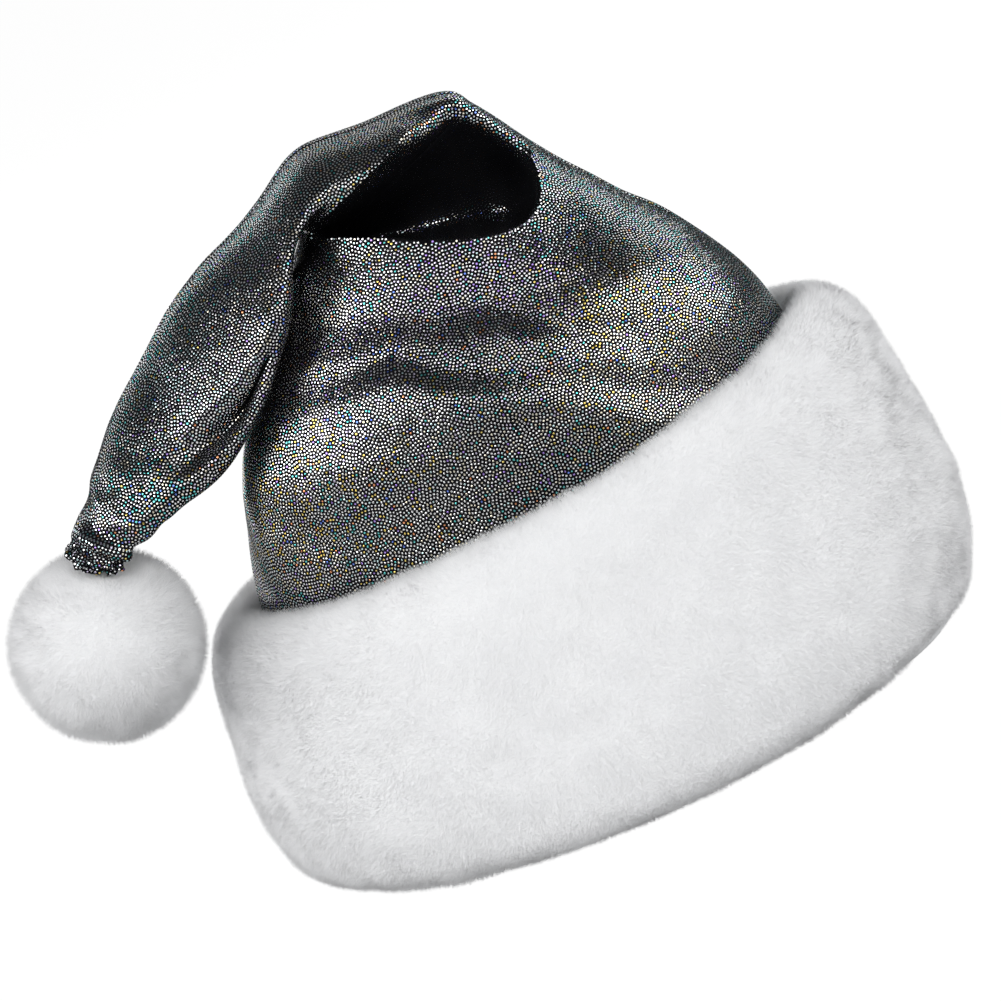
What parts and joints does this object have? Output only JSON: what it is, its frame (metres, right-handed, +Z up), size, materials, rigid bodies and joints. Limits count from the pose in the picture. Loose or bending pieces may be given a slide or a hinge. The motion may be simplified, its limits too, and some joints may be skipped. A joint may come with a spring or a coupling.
{
  "type": "party hat",
  "caption": "Soft cone hat of foil-dot cloth with a folded peak, a hanging tail, a plush pompom and a wide padded plush cuff.",
  "frame": {"origin": "centre of the head opening, in the plane of the cuff's lower rim", "axes": "+Z up the hat from the rim, -Y towards the front, +X to the side away from the hanging tail"},
  "size_m": [0.325, 0.221, 0.2377],
  "materials": {
    "foil_knit": "black knit with tiny raised holographic silver foil dots",
    "plush": "white short-pile plush",
    "padding": "white polyester wadding",
    "facing": "white brushed knit",
    "lining": "black plain-woven lining",
    "label": "blank white satin tape",
    "black_thread": "black spun polyester thread",
    "white_thread": "white spun polyester thread"
  },
  "bodies": {
    "hat": {"cuff_plush": "plush", "cuff_padding": "padding", "cuff_facing": "facing", "cuff_top_stitching": "black_thread", "facing_top_stitching": "white_thread", "cuff_hem_stitching": "white_thread", "cuff_closing_seam": "white_thread", "care_label": "label", "care_label_stitching": "white_thread", "lining_front_panel": "lining", "lining_back_panel": "lining", "lining_left_seam": "black_thread", "lining_right_seam": "black_thread", "lining_top_seam": "black_thread", "crown_front_panel": "foil_knit", "crown_back_panel": "foil_knit", "crown_left_seam": "black_thread", "crown_right_seam": "black_thread"},
    "tail": {"tail_front_panel": "foil_knit", "tail_back_panel": "foil_knit", "tail_lower_seam": "black_thread", "tail_upper_seam": "black_thread"},
    "tail_end": {"gathered_tail_end": "foil_knit", "tail_gather_thread": "black_thread"},
    "pompom": {"pompom_cover": "plush", "pompom_filling": "padding", "pompom_gather_thread": "white_thread", "pompom_tie_thread": "black_thread"}
  },
  "joints": [
    {"name": "tail_fold", "type": "hinge", "parent": "hat", "child": "tail", "pos_m": [-0.008, 0, 0.2365], "axis": [0, 1, 0], "range_deg": [0, 50]},
    {"name": "tail_end_swing", "type": "hinge", "parent": "tail", "child": "tail_end", "pos_m": [-0.1395, -0.0425, 0.151], "axis": [0, 1, 0], "range_deg": [0, 25]},
    {"name": "pompom_sway", "type": "hinge", "parent": "tail_end", "child": "pompom", "pos_m": [-0.14366, -0.0424, 0.1399], "axis": [1, 0, 0], "range_deg": [0, 15]}
  ]
}
